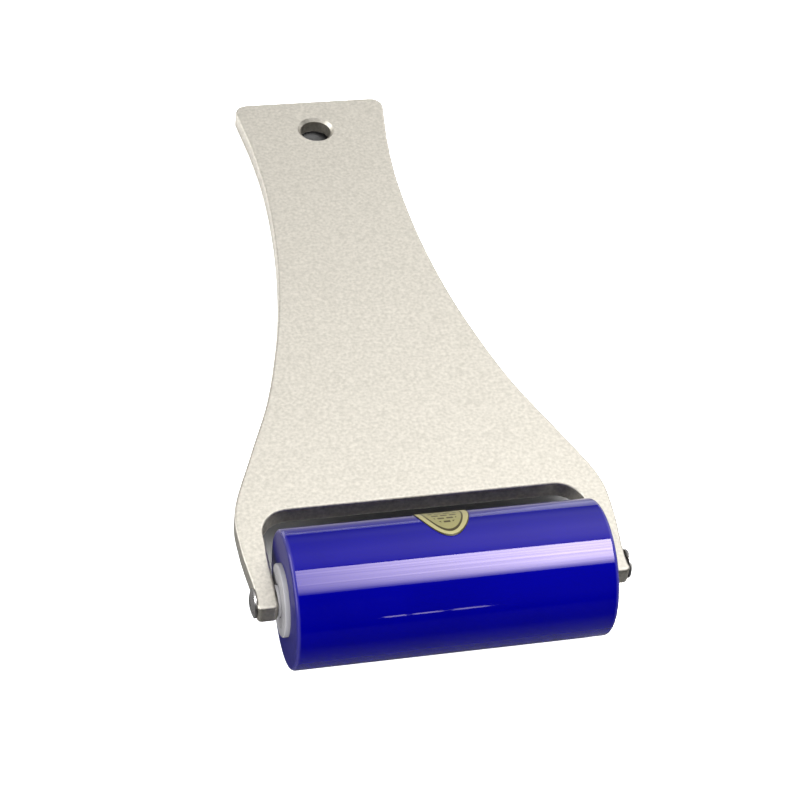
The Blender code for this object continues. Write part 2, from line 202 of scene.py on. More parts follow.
def mesh_from(body, name):
    """The mesh of a bmesh, with its faces turned outwards."""
    bmesh.ops.recalc_face_normals(body, faces=body.faces)
    mesh = bpy.data.meshes.new(name)
    body.to_mesh(mesh)
    body.free()
    return mesh


def softened(corners, steps=4):
    """A closed outline whose corners (x, y, radius) are rounded where the radius isn't 0."""
    points = []
    count = len(corners)
    for i, (x, y, radius) in enumerate(corners):
        corner = Vector((x, y))
        if not radius:
            points.append(corner)
            continue
        before = Vector(corners[i - 1][:2])
        after = Vector(corners[(i + 1) % count][:2])
        points += rounded_corner(before, corner, after, radius, steps)
    return points


def rounded_corner(before, corner, after, radius, steps):
    """A corner of an outline as an arc that is tangent to both of its sides."""
    to_before = (before - corner).normalized()
    to_after = (after - corner).normalized()
    half_angle = to_before.angle(to_after) / 2
    centre = corner + (to_before + to_after).normalized() * radius / sin(half_angle)
    start = corner + to_before * radius * cos(half_angle) / sin(half_angle) - centre
    sweep = pi - 2 * half_angle
    turn = sweep if start.x * to_before.y - start.y * to_before.x < 0 else -sweep
    return [centre + Matrix.Rotation(turn * i / steps, 2) @ start for i in range(steps + 1)]


def arc(centre, radius, start, end, steps=12):
    """Points of an arc from one angle to another, ends included."""
    angles = [start + (end - start) * i / steps for i in range(steps + 1)]
    return [Vector((centre[0] + radius * cos(a), centre[1] + radius * sin(a))) for a in angles]


def turned(name, profile, sides, closed=True, relief=None):
    """A mesh turned about the axle's line from (x, radius) points.

    A closed profile makes a ring. An open one starts and ends on the axis. The relief is a
    function of x and the angle, which adds to the radius.
    """
    body = bmesh.new()
    rings = []
    for x, radius in profile:
        if radius == 0:
            rings.append([body.verts.new((x, AXLE.y, AXLE.z))] * sides)
            continue
        ring = []
        for i in range(sides):
            angle = tau * i / sides
            r = radius + relief(x, radius, angle) if relief else radius
            ring.append(body.verts.new((x, AXLE.y + r * sin(angle), AXLE.z + r * cos(angle))))
        rings.append(ring)
    following = rings[1:] + rings[:1] if closed else rings[1:]
    for ring, other in zip(rings, following):
        for i in range(sides):
            j = (i + 1) % sides
            corners = dict.fromkeys((ring[i], ring[j], other[j], other[i]))
            body.faces.new(corners)
    return mesh_from(body, name)


def applied(piece):
    """The mesh that a piece's modifiers make. The piece itself is removed."""
    bpy.context.view_layer.update()
    graph = bpy.context.evaluated_depsgraph_get()
    mesh = bpy.data.meshes.new_from_object(piece.evaluated_get(graph))
    old = piece.data
    bpy.data.objects.remove(piece)
    if isinstance(old, bpy.types.Curve):
        bpy.data.curves.remove(old)
    return mesh


def cut_away(mesh, cutter_meshes):
    """The mesh less each of the cutters, which are in the same place."""
    scratch = bpy.context.scene.collection.objects
    piece = bpy.data.objects.new("uncut", mesh)
    scratch.link(piece)
    cutters = []
    for cutter_mesh in cutter_meshes:
        cutter = bpy.data.objects.new("cutter", cutter_mesh)
        scratch.link(cutter)
        cutters.append(cutter)
        boolean = piece.modifiers.new("Cut", "BOOLEAN")
        boolean.object = cutter
    cut = applied(piece)
    for cutter in cutters:
        bpy.data.objects.remove(cutter)
    return cut


# Handle

def smooth_flank(stations):
    """Points on a smooth curve through the stations (Catmull-Rom), from the first to the last."""
    guide = [2 * stations[0] - stations[1], *stations, 2 * stations[-1] - stations[-2]]
    points = []
    for a, b, c, d in zip(guide, guide[1:], guide[2:], guide[3:]):
        for t in (i / FLANK_STEPS for i in range(FLANK_STEPS)):
            cubic = (3 * b - a - 3 * c + d) * t**3
            points.append((2 * b + (c - a) * t + (2 * a - 5 * b + 4 * c - d) * t**2 + cubic) / 2)
    return points + [stations[-1]]


def handle_outline():
    """The plate's plan, from the slot's back edge round one arm to the rear, and mirrored."""
    stations = [Vector((w * MM, y * MM)) for y, w in FLANK]
    middle = Vector((0, SLOT_DEPTH))
    slot_corner = Vector((SLOT_HALF_WIDTH, SLOT_DEPTH))
    tip_inner = Vector((SLOT_HALF_WIDTH, -ARM_TIP))
    tip_outer = Vector((ARM_HALF_WIDTH, -ARM_TIP))
    rear_corner = Vector((REAR_HALF_WIDTH, REAR_END))
    rear_middle = Vector((0, REAR_END))
    half = rounded_corner(middle, slot_corner, tip_inner, SLOT_CORNER_RADIUS, CORNER_STEPS)
    half += rounded_corner(slot_corner, tip_inner, tip_outer, ARM_TIP_RADIUS, CORNER_STEPS // 2)
    half += rounded_corner(tip_inner, tip_outer, stations[0], ARM_TIP_RADIUS, CORNER_STEPS // 2)
    half += smooth_flank(stations + [rear_corner])[:-FLANK_STEPS]
    half += rounded_corner(half[-1], rear_corner, rear_middle, REAR_CORNER_RADIUS, CORNER_STEPS)
    return half + [Vector((-p.x, p.y)) for p in reversed(half)]


def plate_mesh():
    """The whole plate with rounded edges, flat at its origin."""
    curve = bpy.data.curves.new("plate", "CURVE")
    curve.dimensions = "2D"
    curve.fill_mode = "BOTH"
    curve.extrude = PLATE_THICKNESS / 2 - EDGE_RADIUS
    curve.bevel_depth = EDGE_RADIUS
    curve.bevel_resolution = EDGE_STEPS
    curve.offset = -EDGE_RADIUS
    outline = handle_outline()
    spline = curve.splines.new("POLY")
    spline.points.add(len(outline) - 1)
    for point, place in zip(spline.points, outline):
        point.co = (place.x, place.y, 0, 1)
    spline.use_cyclic_u = True
    plate = bpy.data.objects.new("plate", curve)
    bpy.context.scene.collection.objects.link(plate)
    body = bmesh.new()
    body.from_mesh(applied(plate))
    bmesh.ops.remove_doubles(body, verts=body.verts, dist=0.001 * MM)
    return mesh_from(body, "plate")


def hanging_hole_cutter():
    """The hole's outside: a cylinder that flares into a chamfer beyond each face of the plate."""
    top = PLATE_THICKNESS / 2
    clear = 1.0 * MM
    wide = HOLE_RADIUS + HOLE_CHAMFER + clear
    profile = (
        (-top - clear, 0), (-top - clear, wide), (HOLE_CHAMFER - top, HOLE_RADIUS),
        (top - HOLE_CHAMFER, HOLE_RADIUS), (top + clear, wide), (top + clear, 0),
    )
    cutter = turned("hanging_hole", profile, ROUND_SIDES, closed=False)
    cutter.transform(Matrix.Translation(-AXLE))
    cutter.transform(Matrix.Translation((0, HOLE_DISTANCE, 0)) @ Matrix.Rotation(-pi / 2, 4, "Y"))
    return cutter


def arm_hole_cutter():
    """A rod through both arms, where the axle's screws pass."""
    reach = ARM_HALF_WIDTH + 5.0 * MM
    profile = ((-reach, 0), (-reach, ARM_HOLE_RADIUS), (reach, ARM_HOLE_RADIUS), (reach, 0))
    cutter = turned("arm_holes", profile, SMALL_SIDES, closed=False)
    cutter.transform(Matrix.Translation(-AXLE))
    return cutter


def build_handle():
    mesh = cut_away(plate_mesh(), [hanging_hole_cutter(), arm_hole_cutter()])
    mesh.transform(TO_HANDLE)
    piece = stand_in("handle_frame", mesh, blasted_aluminium())
    flatter = piece.modifiers.new("Flat faces stay flat", "WEIGHTED_NORMAL")
    flatter.keep_sharp = True
    return piece


# Roller

def build_sleeve():
    left, right = along("silicone_sleeve")
    outer = radius_of("silicone_sleeve")
    inner = outer - SLEEVE_WALL
    profile = softened((
        (left, inner, 0), (left, outer, SLEEVE_EDGE_RADIUS),
        (right, outer, SLEEVE_EDGE_RADIUS), (right, inner, 0),
    ), steps=10)
    return stand_in("silicone_sleeve", turned("sleeve", profile, SLEEVE_SIDES), blue_silicone())


def build_core(surface):
    """The plastic tube with a stepped bearing seat in each end, which the caps go over."""
    right = along("roller_core")[1]
    outer = radius_of("roller_core")
    seat = radius_of("left_outer_race") + FIT_CLEARANCE
    shoulder = along("right_inside_shield")[0] - 0.3 * MM
    step = along("right_end_cap")[0] - FIT_CLEARANCE
    step_radius = outer - CAP_RIM_WALL - FIT_CLEARANCE
    edge = 0.15 * MM
    right_half = (
        (step, outer, edge), (step, step_radius, 0), (right, step_radius, edge),
        (right, seat, edge), (shoulder, seat, 0), (shoulder, CORE_BORE_RADIUS, edge),
    )
    left_half = tuple((-x, radius, soft) for x, radius, soft in reversed(right_half))
    profile = softened(right_half + left_half)
    return stand_in("roller_core", turned("core", profile, ROUND_SIDES), surface)


def build_end_cap(side_name, side, surface):
    """A moulded cup over the core's end, with a faint ring round its hole."""
    node = f"{side_name}_end_cap"
    low, high = along(node)
    face, rim = (high, low) if side > 0 else (low, high)
    outer = radius_of(node)
    inside = face - side * CAP_THICKNESS
    groove, groove_depth = 6.2 * MM, 0.12 * MM
    soft = 0.1 * MM
    crisp = 0.05 * MM
    profile = softened((
        (face, CAP_HOLE_RADIUS, soft), (face, groove - soft, crisp),
        (face - side * groove_depth, groove, crisp), (face, groove + soft, crisp),
        (face, outer, CAP_EDGE), (rim, outer, soft), (rim, outer - CAP_RIM_WALL, soft),
        (inside, outer - CAP_RIM_WALL, 0), (inside, CAP_HOLE_RADIUS, soft),
    ))
    return stand_in(node, turned("cap", profile, ROUND_SIDES), surface)


def build_label():
    """An oval sticker bent round the sleeve, drawn as rings from its middle to its edge.

    Its UV map runs from -1 to 1 across its width and its length, for the print.
    """
    rings, sides = 24, 128
    left, right = along("sleeve_label")
    middle = (left + right) / 2
    half_width = (right - left) / 2
    sleeve_radius = radius_of("silicone_sleeve")
    radius = sleeve_radius + LABEL_THICKNESS / 2
    half_chord = sleeve_radius * sin(LABEL_LENGTH / 2 / sleeve_radius)
    body = bmesh.new()
    print_map = body.loops.layers.uv.new("print")
    places = {}

    def point(ring, i):
        u, v = (ring / rings * wave(tau * i / sides) for wave in (cos, sin))
        bend = LABEL_ANGLE + asin(half_chord * v / sleeve_radius)
        x = middle + half_width * u
        made = body.verts.new((x, AXLE.y + radius * sin(bend), AXLE.z + radius * cos(bend)))
        places[made] = (u, v)
        return made

    loops = [[point(0, 0)] * sides]
    loops += [[point(ring, i) for i in range(sides)] for ring in range(1, rings + 1)]
    for inner, outer in zip(loops, loops[1:]):
        for i in range(sides):
            j = (i + 1) % sides
            face = body.faces.new(dict.fromkeys((inner[i], outer[i], outer[j], inner[j])))
            for corner in face.loops:
                corner[print_map].uv = places[corner.vert]
    piece = stand_in("sleeve_label", mesh_from(body, "label"), gold_foil())
    solid = piece.modifiers.new("Sticker", "SOLIDIFY")
    solid.thickness = LABEL_THICKNESS
    solid.offset = 1
    return piece


# Axle, spacers and screws

def build_axle(surface):
    """The shaft, chamfered and tapped at both ends."""
    left, right = along("axle_shaft")
    outer = radius_of("axle_shaft")
    bore = 1.55 * MM
    depth = 9.0 * MM
    chamfer = 0.3 * MM
    right_half = [
        (right, bore + chamfer), (right - chamfer, bore), (right - depth, bore),
        (right - depth - bore / 2, 0),
    ]
    outside = [(left, outer - chamfer), (left + chamfer, outer), (right - chamfer, outer)]
    profile = [(-x, r) for x, r in reversed(right_half)] + outside + [(right, outer - chamfer)]
    profile += right_half
    mesh = turned("axle", profile, ROUND_SIDES, closed=False)
    return stand_in("axle_shaft", mesh, surface)


def thread_relief(start, end):
    """A thread cut into a shank: a helical groove that runs out at both ends."""
    def relief(x, radius, angle):
        if radius != SCREW_RADIUS or not start < abs(x) < end:
            return 0
        phase = (x / THREAD_PITCH + angle / tau) % 1
        run_out = min(1, (abs(x) - start) / THREAD_PITCH, (end - abs(x)) / THREAD_PITCH)
        return -THREAD_DEPTH * run_out * (1 - abs(2 * phase - 1))
    return relief


def recess_cutters(seat, side):
    """The two tapered wings of a cross, which drive into the screw's head along X."""
    top = seat + side * (SCREW_HEAD_HEIGHT + 0.3 * MM)
    floor = seat + side * (SCREW_HEAD_HEIGHT - RECESS_DEPTH)
    wings = []
    for turn in (pi / 4, -pi / 4):
        body = bmesh.new()
        corners = []
        for x, share in ((floor, 0.72), (top, 1.0)):
            for u, v in ((-1, -1), (1, -1), (1, 1), (-1, 1)):
                flat = Vector((u * RECESS_LENGTH * share / 2, v * RECESS_WIDTH * share / 2))
                flat.rotate(Matrix.Rotation(turn, 2))
                corners.append(body.verts.new((x, AXLE.y + flat.x, AXLE.z + flat.y)))
        bmesh.ops.convex_hull(body, input=corners)
        wings.append(mesh_from(body, "recess"))
    return wings


def build_screw(side_name, side, surface):
    """A machine screw with a low domed head, a cross recess and a cut thread."""
    node = f"{side_name}_axle_screw"
    reach = along(node)
    tip, crown = (reach[0], reach[1]) if side > 0 else (reach[1], reach[0])
    seat = crown - side * SCREW_HEAD_HEIGHT
    head = radius_of(node)
    rise = SCREW_HEAD_HEIGHT - SCREW_HEAD_RIM
    dome_radius = (head**2 + rise**2) / (2 * rise)
    edge = acos(1 - rise / dome_radius)
    dome = [
        (crown - side * dome_radius * (1 - cos(a)), dome_radius * sin(a))
        for a in (edge * i / DOME_STEPS for i in range(DOME_STEPS + 1))
    ]
    fillet = 0.08 * MM
    rim = [(seat + side * fillet, head), (seat, head - fillet)]
    rows = round(abs(seat - tip) / THREAD_PITCH * ROWS_PER_THREAD)
    shank = [(seat + (tip - seat) * i / rows, SCREW_RADIUS) for i in range(rows)]
    profile = dome + rim + shank + [(tip, SCREW_RADIUS - 2 * THREAD_DEPTH), (tip, 0)]
    start, end = sorted((abs(seat), abs(tip)))
    mesh = turned("screw", profile, SMALL_SIDES, closed=False, relief=thread_relief(start, end))
    return stand_in(node, cut_away(mesh, recess_cutters(seat, side)), surface)


def build_spacer(side_name, surface):
    node = f"{side_name}_spacer"
    low, high = along(node)
    bore = 2.6 * MM
    fillet = 0.12 * MM
    outer = radius_of(node)
    profile = softened((
        (low, bore, fillet), (low, outer, fillet), (high, outer, fillet), (high, bore, fillet),
    ))
    return stand_in(node, turned("spacer", profile, ROUND_SIDES), surface)


# Bearings

def build_races(side_name, surface):
    """The two rings of a bearing, with their ball grooves and the outer ring's shield seats."""
    low, high = along(f"{side_name}_inner_race")
    middle = (low + high) / 2
    outer = radius_of(f"{side_name}_outer_race")
    reach = asin((PITCH_RADIUS - INNER_LAND_RADIUS) / GROOVE_RADIUS)
    centre = (middle, PITCH_RADIUS)
    inner_race = softened((
        (low, INNER_LAND_RADIUS, 0.1 * MM), (low, BEARING_BORE_RADIUS, RACE_EDGE),
        (high, BEARING_BORE_RADIUS, RACE_EDGE), (high, INNER_LAND_RADIUS, 0.1 * MM),
    ))
    inner_race += arc(centre, GROOVE_RADIUS, -reach, reach - pi)
    low_seat, high_seat = low + SHIELD_SEAT_DEPTH, high - SHIELD_SEAT_DEPTH
    outer_race = softened((
        (low_seat, OUTER_LAND_RADIUS, 0), (low_seat, SHIELD_SEAT_RADIUS, 0),
        (low, SHIELD_SEAT_RADIUS, 0), (low, outer, RACE_EDGE), (high, outer, RACE_EDGE),
        (high, SHIELD_SEAT_RADIUS, 0), (high_seat, SHIELD_SEAT_RADIUS, 0),
        (high_seat, OUTER_LAND_RADIUS, 0),
    ))
    outer_race += arc(centre, GROOVE_RADIUS, reach, pi - reach)
    stand_in(f"{side_name}_inner_race", turned("race", inner_race, ROUND_SIDES), surface)
    stand_in(f"{side_name}_outer_race", turned("race", outer_race, ROUND_SIDES), surface)


def build_shield(node, surface):
    """A pressed sheet ring with a step halfway, as thin as the space in its seat."""
    low, high = along(node)
    outward = 1 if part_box(node)[1].x > 0 else -1
    outward = -outward if "inside" in node else outward
    face = high if outward > 0 else low
    back = face - outward * (high - low)
    inner, outer = 4.1 * MM, radius_of(node)
    step, slope = 4.9 * MM, 0.15 * MM
    drop = high - low - SHIELD_GAUGE
    profile = (
        (face, inner), (face, step), (face - outward * drop, step + slope),
        (face - outward * drop, outer), (back, outer), (back, step + slope - 0.05 * MM),
        (face - outward * SHIELD_GAUGE, step - 0.05 * MM), (face - outward * SHIELD_GAUGE, inner),
    )
    return stand_in(node, turned("shield", profile, ROUND_SIDES), surface)


def ball_mesh(centre, radius):
    """A ball made from a finely divided cube whose points are pushed out to one radius."""
    body = bmesh.new()
    bmesh.ops.create_cube(body, size=1)
    bmesh.ops.subdivide_edges(body, edges=body.edges, cuts=9, use_grid_fill=True)
    for point in body.verts:
        point.co = centre + point.co.normalized() * radius
    return mesh_from(body, "ball")


def build_balls(side_name, surface):
    for number in range(1, BALL_COUNT + 1):
        node = f"{side_name}_ball_{number}"
        low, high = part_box(node)
        stand_in(node, ball_mesh((low + high) / 2, (high.x - low.x) / 2), surface)


def build_cage(side_name, surface):
    """The ring between the races, with a round pocket for each ball."""
    node = f"{side_name}_ball_cage"
    low, high = along(node)
    outer = radius_of(node)
    wall = 2 * (outer - PITCH_RADIUS)
    fillet = 0.12 * MM
    profile = softened((
        (low, outer - wall, fillet), (low, outer, fillet),
        (high, outer, fillet), (high, outer - wall, fillet),
    ))
    pockets = []
    for number in range(1, BALL_COUNT + 1):
        ball_low, ball_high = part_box(f"{side_name}_ball_{number}")
        centre = (ball_low + ball_high) / 2
        outwards = Vector((0, centre.y - AXLE.y, centre.z - AXLE.z))
        place = Matrix.Translation(centre) @ outwards.to_track_quat("Z", "X").to_matrix().to_4x4()
        body = bmesh.new()
        bmesh.ops.create_cone(
            body, cap_ends=True, segments=SMALL_SIDES, depth=4 * wall,
            radius1=POCKET_RADIUS, radius2=POCKET_RADIUS, matrix=place,
        )
        pockets.append(mesh_from(body, "pocket"))
    return stand_in(node, cut_away(turned("cage", profile, ROUND_SIDES), pockets), surface)


# Materials

def add_node(tree, kind, inputs=None, **settings):
    """A shader node whose inputs are given as values or as the sockets that feed them."""
    made = tree.nodes.new(kind)
    for name, value in settings.items():
        setattr(made, name, value)
    for name, value in (inputs or {}).items():
        if isinstance(value, bpy.types.NodeSocket):
            tree.links.new(value, made.inputs[name])
        else:
            made.inputs[name].default_value = value
    return made


def new_material(name, **constants):
    """A material, its node tree, its shader and the coordinates of the piece that wears it."""
    made = bpy.data.materials.new(name)
    made["slot"] = name
    made.use_nodes = True
    tree = made.node_tree
    shader = tree.nodes["Principled BSDF"]
    for socket, value in constants.items():
        shader.inputs[socket.replace("_", " ")].default_value = value
    place = add_node(tree, "ShaderNodeTexCoord").outputs["Object"]
    return made, tree, shader, place


def speckle(tree, place, scale, detail=2.0):
    """Noise with that many cells to a metre."""
    inputs = {"Vector": place, "Scale": scale, "Detail": detail}
    return add_node(tree, "ShaderNodeTexNoise", inputs).outputs["Fac"]


def ramp(tree, value, start, end, low, high):
    """A value that goes from low to high while another goes from start to end."""
    inputs = {"Value": value, "From Min": start, "From Max": end, "To Min": low, "To Max": high}
    return add_node(tree, "ShaderNodeMapRange", inputs).outputs["Result"]


def between(tree, noise, low, high):
    """The value that noise gives, spread from low to high."""
    return ramp(tree, noise, 0.3, 0.7, low, high)


def mixed(tree, factor, first, second):
    """A colour between two colours or sockets."""
    mix = add_node(tree, "ShaderNodeMix", data_type="RGBA")
    ends = [socket for socket in mix.inputs if socket.enabled]
    for socket, value in zip(ends, (factor, first, second)):
        if isinstance(value, bpy.types.NodeSocket):
            tree.links.new(value, socket)
        else:
            socket.default_value = value
    return next(socket for socket in mix.outputs if socket.enabled)


def tinted(tree, fac, dark, light):
    """A colour between two, by a noise value."""
    return mixed(tree, between(tree, fac, 0.0, 1.0), (*dark, 1.0), (*light, 1.0))


def bump(tree, shader, height, distance):
    """Relief that deep in the shader's normal."""
    inputs = {"Height": height, "Distance": distance, "Strength": 1.0}
    made = add_node(tree, "ShaderNodeBump", inputs)
    tree.links.new(made.outputs["Normal"], shader.inputs["Normal"])


def blasted_aluminium():
    """Bead-blasted and clear anodised plate: fine grain, a soft sheen and slight shading."""
    made, tree, shader, place = new_material("blasted_aluminium", Metallic=1.0)
    grain = speckle(tree, place, 1200, 3)
    colour = tinted(tree, grain, (0.52, 0.495, 0.435), (0.67, 0.635, 0.565))
    tree.links.new(colour, shader.inputs["Base Color"])
    tree.links.new(between(tree, speckle(tree, place, 900), 0.4, 0.48), shader.inputs["Roughness"])
    bump(tree, shader, grain, 0.03 * MM)
    return made


def blue_silicone():
    """Soft deep blue rubber: a wet-looking skin with faint drag lines, duller cut ends and a
    painted highlight round each rim.
    """
    made, tree, shader, place = new_material(
        "blue_silicone", IOR=1.45, Specular_Tint=(1.0, 0.85, 1.0, 1.0),
        Sheen_Roughness=0.2, Sheen_Tint=(0.8, 0.75, 1.0, 1.0),
    )
    colour = tinted(tree, speckle(tree, place, 60), (0.0, 0.0, 0.115), (0.0, 0.0, 0.13))
    stretched = add_node(
        tree, "ShaderNodeVectorMath", {0: place, 1: (0.15, 1.0, 1.0)}, operation="MULTIPLY"
    ).outputs["Vector"]
    lines = speckle(tree, stretched, 350, 1)
    split = add_node(tree, "ShaderNodeSeparateXYZ", {"Vector": place})
    from_middle = add_node(
        tree, "ShaderNodeMath", {0: split.outputs["X"]}, operation="ABSOLUTE"
    ).outputs[0]
    end = along("silicone_sleeve")[1]
    edge = end - 0.4 * MM
    cut_end = ramp(tree, from_middle, edge, end, 0.0, 0.4)
    # Painted highlight: a lighter ring of colour over the rounded rim, standing in for the line of
    # light along each end's edge
    onto_rim = ramp(tree, from_middle, end - SLEEVE_EDGE_RADIUS, edge, 0.0, 1.0)
    off_rim = ramp(tree, from_middle, edge, end, 1.0, 0.0)
    painted_rim_highlight = add_node(tree, "ShaderNodeMath", {0: onto_rim, 1: off_rim}, operation="MULTIPLY")
    colour = mixed(tree, painted_rim_highlight.outputs[0], colour, (0.03, 0.028, 0.16, 1.0))
    tree.links.new(colour, shader.inputs["Base Color"])
    roughness = add_node(
        tree, "ShaderNodeMath", {0: between(tree, lines, 0.03, 0.06), 1: cut_end}, operation="ADD"
    ).outputs[0]
    tree.links.new(roughness, shader.inputs["Roughness"])
    tree.links.new(ramp(tree, from_middle, edge, end, 0.2, 0.0), shader.inputs["Sheen Weight"])
    bump(tree, shader, lines, 0.005 * MM)
    return made


def white_plastic():
    """Moulded plastic with a fine moulded grain."""
    made, tree, shader, place = new_material("white_plastic", IOR=1.5)
    colour = tinted(tree, speckle(tree, place, 150), (0.29, 0.285, 0.3), (0.34, 0.335, 0.35))
    tree.links.new(colour, shader.inputs["Base Color"])
    grain = speckle(tree, place, 2500)
    tree.links.new(between(tree, grain, 0.35, 0.5), shader.inputs["Roughness"])
    bump(tree, shader, grain, 0.008 * MM)
    return made


def turned_metal(name, colour, roughness):
    """Metal with fine tool marks that run round the axle's line."""
    made, tree, shader, place = new_material(name, Metallic=1.0)
    from_axle = add_node(
        tree, "ShaderNodeVectorMath", {0: place, 1: tuple(-AXLE)}, operation="ADD"
    ).outputs["Vector"]
    split = add_node(tree, "ShaderNodeSeparateXYZ", {"Vector": from_axle})
    across = {"Y": split.outputs["Y"], "Z": split.outputs["Z"]}
    flat = add_node(tree, "ShaderNodeCombineXYZ", across)
    radius = add_node(
        tree, "ShaderNodeVectorMath", {0: flat.outputs["Vector"]}, operation="LENGTH"
    ).outputs["Value"]
    rings = add_node(tree, "ShaderNodeCombineXYZ", {"X": split.outputs["X"], "Y": radius})
    marks = speckle(tree, rings.outputs["Vector"], 9000)
    dark = tuple(0.85 * channel for channel in colour)
    tree.links.new(tinted(tree, marks, dark, colour), shader.inputs["Base Color"])
    low, high = 0.8 * roughness, 1.3 * roughness
    tree.links.new(between(tree, speckle(tree, place, 700), low, high), shader.inputs["Roughness"])
    bump(tree, shader, marks, 0.004 * MM)
    return made


def gold_foil():
    """Metallised sticker with a printed outline, an inner ring and rows of plain dashes."""
    made, tree, shader, place = new_material("gold_foil", Metallic=0.2)
    oval = add_node(tree, "ShaderNodeUVMap", uv_map="print").outputs["UV"]
    inner_oval = add_node(
        tree, "ShaderNodeVectorMath", {0: oval, 1: (1.32, 1.13, 1.0)}, operation="MULTIPLY"
    ).outputs["Vector"]
    outwards, inner = (
        add_node(tree, "ShaderNodeVectorMath", {0: shape}, operation="LENGTH").outputs["Value"]
        for shape in (oval, inner_oval)
    )
    gold, olive, dark = (0.26, 0.235, 0.11, 1), (0.185, 0.17, 0.07, 1), (0.02, 0.013, 0.0, 1)
    colour = add_node(tree, "ShaderNodeTexBrick", {
        "Vector": oval, "Color1": dark, "Color2": dark, "Mortar": olive, "Scale": 1.0,
        "Mortar Size": 0.045, "Mortar Smooth": 0.0, "Brick Width": 0.34, "Row Height": 0.16,
    }).outputs["Color"]
    bands = ((inner, 0.72, olive), (inner, 0.92, dark), (inner, 1.0, gold), (outwards, 0.96, dark))
    for distance, start, beyond in bands:
        inputs = {0: distance, 1: start}
        over = add_node(tree, "ShaderNodeMath", inputs, operation="GREATER_THAN").outputs[0]
        colour = mixed(tree, over, colour, beyond)
    tree.links.new(colour, shader.inputs["Base Color"])
    grain = speckle(tree, place, 3000)
    tree.links.new(between(tree, grain, 0.4, 0.5), shader.inputs["Roughness"])
    bump(tree, shader, grain, 0.004 * MM)
    return made


def paper(name, grey, glow=0):
    """Smooth matt paper of a given shade, lit from behind if it glows."""
    made, tree, shader, place = new_material(
        name, Roughness=0.9, Emission_Color=(1, 1, 1, 1), Emission_Strength=glow
    )
    colour = tinted(tree, speckle(tree, place, 30), (grey - 0.01,) * 3, (grey + 0.01,) * 3)
    tree.links.new(colour, shader.inputs["Base Color"])
    return made


def graded_paper(name):
    """Paper with painted light and shade by place: black in front of the roller, dim beside the
    fork and pale at the rear.
    """
    made, tree, shader, place = new_material(name, Roughness=0.9)
    y = add_node(tree, "ShaderNodeSeparateXYZ", {"Vector": place}).outputs["Y"]
    # Painted shade in front of the roller and painted light towards the rear, set by position on
    # the floor
    front = ramp(tree, y, AXLE.y - 50 * MM, AXLE.y - 5 * MM, 0.0, 0.12)
    rear = ramp(tree, y, -20 * MM, 10 * MM, 0.0, 0.42)
    grey = add_node(tree, "ShaderNodeMath", {0: front, 1: rear}, operation="ADD").outputs[0]
    tree.links.new(grey, shader.inputs["Base Color"])
    return made


def painted_shadow_card(name, grey, centre, width, length, fade):
    """Painted shadow: dark paper that thins out towards its edges, as a shadow does."""
    made, tree, shader, place = new_material(name, Roughness=0.9)
    colour = tinted(tree, speckle(tree, place, 30), (grey - 0.01,) * 3, (grey + 0.01,) * 3)
    tree.links.new(colour, shader.inputs["Base Color"])
    offset = tuple(-value for value in centre)
    moved = add_node(tree, "ShaderNodeVectorMath", {0: place, 1: offset}, operation="ADD")
    folded = add_node(
        tree, "ShaderNodeVectorMath", {0: moved.outputs["Vector"]}, operation="ABSOLUTE"
    )
    split = add_node(tree, "ShaderNodeSeparateXYZ", {"Vector": folded.outputs["Vector"]})
    sides = ramp(tree, split.outputs["X"], width / 2 - fade, width / 2, 1.0, 0.0)
    ends = ramp(tree, split.outputs["Y"], length / 2 - fade, length / 2, 1.0, 0.0)
    alpha = add_node(tree, "ShaderNodeMath", {0: sides, 1: ends}, operation="MULTIPLY").outputs[0]
    tree.links.new(alpha, shader.inputs["Alpha"])
    return made


# Studio

def stage_piece(name, body, surface, seen_by):
    """A piece of the studio that only some rays see."""
    piece = finished(name, mesh_from(body, name), surface)
    for ray in ("camera", "diffuse", "glossy", "shadow"):
        setattr(piece, f"visible_{ray}", ray in seen_by)


def add_sheet(name, width, length, centre, surface, seen_by):
    """A flat sheet. Its centre is given in the frame's coordinates."""
    body = bmesh.new()
    place = Matrix.Translation(centre) @ Matrix.Diagonal((width, length, 1, 1))
    bmesh.ops.create_grid(body, x_segments=1, y_segments=1, size=0.5, matrix=place)
    stage_piece(name, body, surface, seen_by)


def add_backdrop():
    """A white dome round the whole studio, for the eye only."""
    body = bmesh.new()
    bmesh.ops.create_uvsphere(body, u_segments=48, v_segments=24, radius=8)
    stage_piece("backdrop", body, paper("backdrop_paper", 0.86, 1.5), ("camera",))


def add_floor():
    """A white sweep for the eye, and what the tool mirrors and takes its bounced light from.

    Dark cards of painted shadow under the fork and under the hanging hole show through them.
    """
    level = CAD_BOX[0].z
    step = 0.1 * MM
    under_hole = TO_HANDLE @ Vector((0, HOLE_DISTANCE, 0))
    floors = (
        ("sweep", paper("sweep_paper", 0.86, 0.92), ("camera",)),
        ("mirrored_floor", graded_paper("mirrored_paper"), ("glossy",)),
        ("bounce_floor", paper("bounce_paper", 0.4), ("diffuse", "shadow")),
    )
    for number, (name, surface, seen_by) in enumerate(floors, start=2):
        add_sheet(name, 6, 6, (0, 0, level - number * step), surface, seen_by)
    # Painted shadow: dark cards where the floor lies in shade under the fork and under the hanging
    # hole
    cards = (
        ("fork_painted_shadow", 0.18, (3 * MM, AXLE.y + 26.5 * MM, level - step), 87 * MM, 35 * MM, 2.5 * MM),
        ("hole_painted_shadow", 0.06, (0, under_hole.y + 1 * MM, level - step), 18 * MM, 18 * MM, 4 * MM),
    )
    for name, grey, centre, width, length, fade in cards:
        surface = painted_shadow_card(f"{name}_paper", grey, centre, width, length, fade)
        add_sheet(name, width, length, centre, surface, ("camera", "glossy"))


